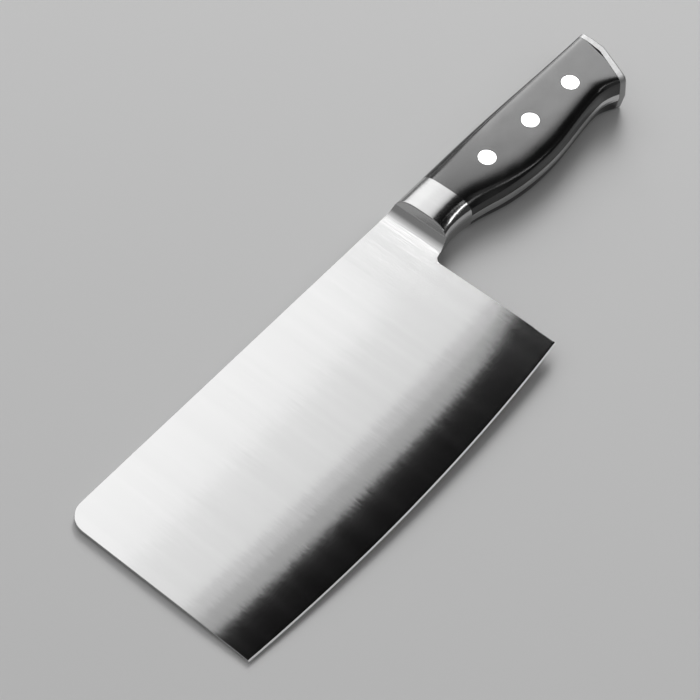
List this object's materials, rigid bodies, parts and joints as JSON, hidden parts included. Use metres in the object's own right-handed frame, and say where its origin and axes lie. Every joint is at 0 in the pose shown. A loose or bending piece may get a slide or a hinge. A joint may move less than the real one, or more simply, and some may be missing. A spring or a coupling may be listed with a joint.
{
  "type": "chinese cleaver",
  "caption": "Chinese cleaver with a tall, thin, nearly rectangular blade, a polished bolster, riveted black grip scales on a full tang, and a bent steel cap over the butt.",
  "frame": {"origin": "centre of the knife's bounding box, in the blade's middle plane", "axes": "+X along the knife from the blade's front to the butt, +Y across the blade from the edge to the spine, +Z square to the blade, out of the face seen in the picture"},
  "size_m": [0.31, 0.0924, 0.0186],
  "materials": {
    "blade_steel": "satin, ground across the blade",
    "polished_steel": "polished",
    "tang_steel": "fine ground, flush with the scales",
    "scale_plastic": "smooth black, soft sheen",
    "rivet_steel": "polished flush with the scales"
  },
  "bodies": {
    "root": {"blade": "blade_steel", "bolster": "polished_steel", "tang": "tang_steel", "end_cap": "polished_steel", "scale_upper": "scale_plastic", "scale_lower": "scale_plastic", "rivet_pin_front": "rivet_steel", "rivet_pin_middle": "rivet_steel", "rivet_pin_rear": "rivet_steel", "rivet_sleeve_front": "rivet_steel", "rivet_sleeve_middle": "rivet_steel", "rivet_sleeve_rear": "rivet_steel"}
  },
  "joints": []
}
